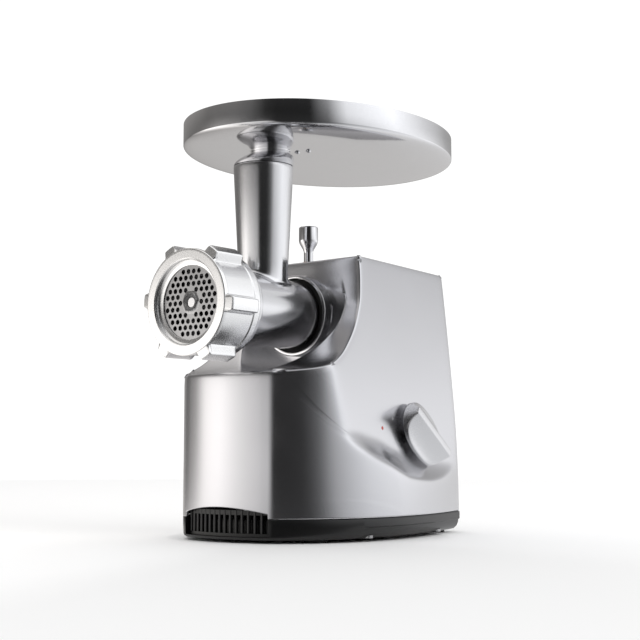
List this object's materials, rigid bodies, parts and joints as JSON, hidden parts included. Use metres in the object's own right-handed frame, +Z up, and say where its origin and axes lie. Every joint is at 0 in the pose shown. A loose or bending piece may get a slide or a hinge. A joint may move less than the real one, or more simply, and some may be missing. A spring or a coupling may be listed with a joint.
{
  "type": "electric meat grinder",
  "caption": "Countertop electric meat grinder: silver motor housing on a black base, polished grinding head with lugged ring nut and hole plate, hopper tube, wide oval food tray.",
  "frame": {"origin": "centre of the overall box at the bottom of the feet", "axes": "+Z up, -Y towards the outlet of the grinding head, +X towards the switch side"},
  "size_m": [0.2116, 0.3, 0.3475],
  "materials": {
    "brushed_housing": "satin silver, fine vertical grain",
    "cast_alloy": "cast, polished",
    "polished_tray": "mirror polished",
    "satin_silver": "satin metallised",
    "chrome": "mirror",
    "steel": "ground",
    "black_plastic": "satin moulded",
    "rubber": "moulded",
    "nylon": "moulded",
    "bronze": "sintered",
    "copper": "enamelled wire",
    "laminated_iron": "stacked sheet",
    "gearcase_alloy": "die-cast, untreated"
  },
  "bodies": {
    "base_unit": {"housing_shell": "brushed_housing", "base_moulding": "black_plastic", "vent_grille": "black_plastic", "foot_front_left": "rubber", "foot_front_right": "rubber", "foot_rear_left": "rubber", "foot_rear_right": "rubber", "base_screw_front_left": "steel", "base_screw_front_right": "steel", "base_screw_rear_left": "steel", "base_screw_rear_right": "steel", "head_socket": "cast_alloy", "pin_bush": "bronze", "lock_spring": "steel", "middle_axle": "steel", "gear_case": "gearcase_alloy", "gear_cover": "gearcase_alloy", "output_bush_front": "bronze", "output_bush_rear": "bronze", "motor_bearing_front": "steel", "motor_bearing_rear": "steel", "stator_core": "laminated_iron", "field_coil_left": "copper", "field_coil_right": "copper", "motor_bolt_left": "steel", "motor_bolt_right": "steel", "brush_holder_left": "bronze", "brush_holder_right": "bronze", "motor_bracket": "gearcase_alloy", "motor_pad": "rubber", "switch_case": "black_plastic", "cord_inlet": "rubber"},
    "output": {"output_shaft": "steel", "output_gear": "steel"},
    "middle": {"middle_gear": "nylon", "middle_pinion": "steel"},
    "rotor": {"motor_shaft": "steel", "motor_pinion": "steel", "armature": "laminated_iron", "commutator": "copper", "cooling_fan": "black_plastic"},
    "pin": {"lock_pin": "chrome"},
    "switch": {"switch_knob": "satin_silver"},
    "head": {"head_body": "cast_alloy", "screw_bush": "bronze"},
    "screw": {"feed_screw": "cast_alloy", "cutting_knife": "steel"},
    "plate": {"screen_plate": "steel"},
    "nut": {"ring_nut": "cast_alloy"},
    "tray": {"food_tray": "polished_tray"}
  },
  "joints": [
    {"name": "motor_spin", "type": "hinge", "parent": "base_unit", "child": "rotor", "pos_m": [0, 0.087, 0.09895], "axis": [0, 1, 0], "continuous": true},
    {"name": "middle_spin", "type": "hinge", "parent": "base_unit", "child": "middle", "pos_m": [0, 0.03, 0.1402], "axis": [0, 1, 0], "continuous": true},
    {"name": "output_spin", "type": "hinge", "parent": "base_unit", "child": "output", "pos_m": [0, 0.026, 0.1852], "axis": [0, 1, 0], "continuous": true},
    {"name": "head_slide", "type": "slide", "parent": "base_unit", "child": "head", "axis": [0, -1, 0], "range_m": [0, 0.05]},
    {"name": "scroll_spin", "type": "hinge", "parent": "head", "child": "screw", "pos_m": [0, -0.06, 0.1852], "axis": [0, 1, 0], "continuous": true},
    {"name": "plate_slide", "type": "slide", "parent": "head", "child": "plate", "axis": [0, -1, 0], "range_m": [0, 0.0082]},
    {"name": "nut_turn", "type": "hinge", "parent": "plate", "child": "nut", "pos_m": [0, -0.13, 0.1852], "axis": [0, -1, 0], "range_deg": [0, 720]},
    {"name": "tray_lift", "type": "slide", "parent": "head", "child": "tray", "axis": [0, 0, 1], "range_m": [0, 0.045]},
    {"name": "pin_pull", "type": "slide", "parent": "base_unit", "child": "pin", "axis": [0, 0, 1], "range_m": [0, 0.006], "stiffness_N_per_m": 400, "springref_m": -0.004, "deforming": ["lock_spring"]},
    {"name": "knob_turn", "type": "hinge", "parent": "base_unit", "child": "switch", "pos_m": [0.0709, 0.0585, 0.085], "axis": [0.9879, 0.1057, 0.1136], "range_deg": [0, 30]}
  ],
  "couplings": [
    {"joint": "middle_spin", "follows": "motor_spin", "ratio": -0.2},
    {"joint": "output_spin", "follows": "motor_spin", "ratio": 0.072727},
    {"joint": "scroll_spin", "follows": "motor_spin", "ratio": 0.072727},
    {"joint": "plate_slide", "follows": "nut_turn", "m_per_rad": 0.00063662}
  ]
}
